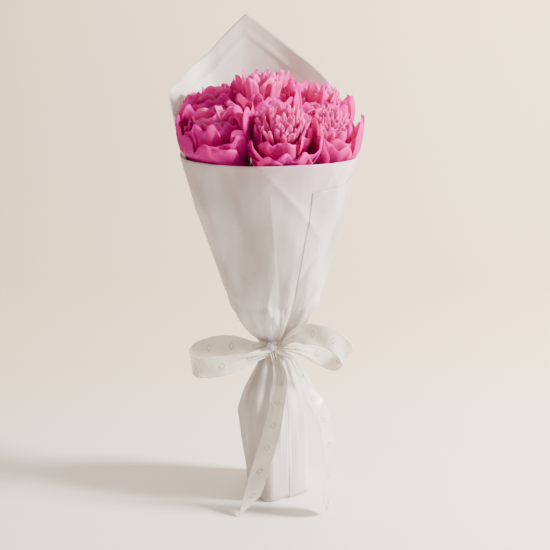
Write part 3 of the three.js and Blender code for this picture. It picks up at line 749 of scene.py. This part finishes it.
RIBBONS = {
    "ribbon_loop_left": [
        ((-1, -26, 197), (0, -0.1, 1), 3), ((-9, -24, 199), (0, -0.1, 1), 4),
        ((-26, -24, 197), (0, -0.1, 1), 8.5),
        ((-48, -23, 198), (0, 0.2, 1), FULL), ((-71, -23, 197), (0, 0.2, 1), FULL),
        ((-89, -27, 191), (-0.2, 0, 1), FULL), ((-97, -37, 184), (-0.2, 0, 1), FULL),
        ((-87, -46, 179), (-0.1, 0.1, 1), FULL), ((-58, -46, 181), (0, 0.1, 1), 12),
        ((-31, -39, 186), (0.1, 0, 1), 8.5), ((-10, -32, 191), (0.1, -0.3, 1), 4),
        ((-1, -28, 194), (0.1, -0.3, 1), 3)],
    "ribbon_loop_right": [
        ((1, -26, 197), (-0.3, -0.2, 1), 3), ((12, -29, 203), (-0.3, -0.2, 1), 4),
        ((22, -31, 212), (-0.4, -0.2, 1), 7),
        ((37, -34, 217), (-0.1, 0.1, 1), FULL), ((54, -37, 217), (0.15, 0.2, 1), FULL),
        ((71, -39, 211), (0.4, 0.25, 1), FULL), ((85, -37, 198), (0.6, 0.1, 1), FULL),
        ((90, -27, 183), (0.6, -0.1, 1), FULL), ((79, -16, 176), (0.4, 0.4, 1), FULL),
        ((61, -12, 181), (0.3, 0.5, 1), FULL), ((43, -14, 188), (0.2, 0.6, 1), 9),
        ((27, -19, 193), (0, 0.6, 1), 5), ((14, -23, 195), (0, 0.5, 1), 3.5),
        ((1, -25, 194), (0, 0.5, 1), 3)],
    "ribbon_tail_left": [
        ((1, -28, 194), (1, 0, 0), 4), ((3, -33, 186), (1, 0, 0), 4),
        ((10, -37, 170), (1, 0.1, 0), 6),
        ((10, -45, 154), (1, 0, 0), 7), ((6, -50, 134), (1, -0.1, 0), 8.5),
        ((1, -55, 110), (1, -0.3, 0.1), 10.5), ((-5, -58, 86), (1, -0.3, 0.2), 12),
        ((-13, -61, 60), (1, -0.1, 0.3), FULL), ((-21, -67, 34), (1, 0, 0.3), FULL),
        ((-28, -74, 11), (1, 0.3, 0.4), FULL)],
    "ribbon_tail_right": [
        ((2, -27, 194), (0.3, 1, 0.2), 3), ((12, -31, 191), (0.3, 1, 0.2), 3.5),
        ((22, -37, 188), (0.5, 1, 0.1), 4), ((31, -45, 176), (0.5, 0.9, 0.1), 7),
        ((40, -53, 159), (0.6, 0.8, 0.1), 10), ((50, -59, 142), (0.6, 0.75, 0.1), FULL),
        ((59, -64, 124), (0.6, 0.8, 0.1), FULL), ((64, -67, 104), (0.55, 0.85, 0), FULL),
        ((66, -70, 78), (0.5, 0.9, 0), FULL), ((66, -72, 48), (0.45, 0.9, 0), FULL),
        ((66, -73, 22), (0.4, 0.9, 0), FULL), ((66, -73, 7), (0.4, 0.9, 0), 2)],
}
PRINTED = {count: satin_material(count) for count in (MOTIFS_ON_TAIL, MOTIFS_ON_LOOP)}
for seed, (name, keys) in enumerate(RIBBONS.items()):
    cut = POINTED if name == "ribbon_tail_left" else 0
    piece, length = ribbon(name + "_satin", keys, seed, cut)
    motifs = MOTIFS_ON_LOOP if "loop" in name else MOTIFS_ON_TAIL
    place(piece, PRINTED[motifs], "ribbon", name)

BAND_RADIUS = 17.0
BAND_HALF = 7
turn = np.linspace(0, 2 * math.pi, 121)[:, None]
height = np.linspace(-1, 1, 25)[None]
ply = 0.55 * np.sin(height * 9 + 0.8 * np.sin(turn * 2)) * (1 - height ** 4)
r = BAND_RADIUS + ply - 0.8 * height ** 4
band = np.stack([r * np.cos(turn), r * np.sin(turn), TIE_MM + BAND_HALF * height + 0 * turn],
                -1) * MM + AXIS
place(mesh_of("ribbon_band_satin", [band], BAND_THICK), SATIN, "ribbon", "ribbon_band")

turn = np.linspace(0, 2 * math.pi, 61)[:, None]
rise = np.linspace(0.02, math.pi - 0.02, 41)[None]
fold = (1 - 0.24 * np.abs(np.sin(turn * 4 + 0.7 * np.sin(rise * 2)))
        + 0.04 * np.sin(turn * 3 + rise * 5))
low, high = (np.array(corner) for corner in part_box("ribbon_knot"))
size = (high - low) * np.array([0.56, 0.5, 0.5])
waist = np.sin(rise) ** 0.55 * (1 - 0.14 * np.sin(rise) ** 6)
knot = np.stack([size[0] * 1.08 * fold * waist * np.cos(turn),
                 size[1] * 1.08 * fold * waist * np.sin(turn),
                 size[2] * np.cos(rise) + 0 * turn], -1) + (low + high) / 2
place(mesh_of("ribbon_knot_satin", [knot]), SATIN, "ribbon", "ribbon_knot")

# ---- Stage and light ----
STAGE_HALF = 9.0
BEND_AT = 0.9  # where the floor starts to bend up into the backdrop
BEND = 0.6  # radius of that bend
BACKDROP_TOP = 6.0
sweep = [(-STAGE_HALF, 0.0), (BEND_AT, 0.0)]
sweep += [(BEND_AT + BEND * math.sin(a), BEND - BEND * math.cos(a))
          for a in np.linspace(0.1, 1.57, 16)]
sweep += [(BEND_AT + BEND, BACKDROP_TOP)]
floor_points = np.array([[(x, y, z) for y, z in sweep] for x in (-STAGE_HALF, STAGE_HALF)], float)
stage = mesh_of("floor_and_backdrop", [floor_points])
stone = Shader("pale_floor", Roughness=0.55, Specular_IOR_Level=0.3)
split = stone.new("ShaderNodeSeparateXYZ", {0: stone.new("ShaderNodeTexCoord").outputs["Object"]})
stone.colour(stone.ramp(split.outputs["Y"],
                        (0.08, (0.88, 0.85, 0.82)), (0.45, (0.98, 0.82, 0.63))))
stage.data.materials.append(stone.material)

LAMPS_AIM = Vector((0, 0, 0.3))


def lamp(name, at, size, power, colour):
    """A square lamp turned to the bunch's middle."""
    light = bpy.data.objects.new(name, bpy.data.lights.new(name, "AREA"))
    light.data.size = size
    light.data.energy = power
    light.data.color = colour
    light.location = at
    light.rotation_euler = (LAMPS_AIM - Vector(at)).to_track_quat("-Z", "Y").to_euler()
    bpy.context.collection.objects.link(light)


lamp("key", (1.85, -0.3, 1.15), 0.35, 195, (1.0, 0.94, 0.86))
lamp("fill", (-1.4, -1.7, 1.0), 2.0, 4, (1.0, 0.95, 0.91))
lamp("top", (-0.2, 0.4, 2.2), 1.6, 18, (1.0, 0.97, 0.94))
world = bpy.data.worlds.new("studio")
world.use_nodes = True
world.node_tree.nodes["Background"].inputs[0].default_value = (1.0, 0.95, 0.89, 1)
world.node_tree.nodes["Background"].inputs[1].default_value = 0.38
bpy.context.scene.world = world
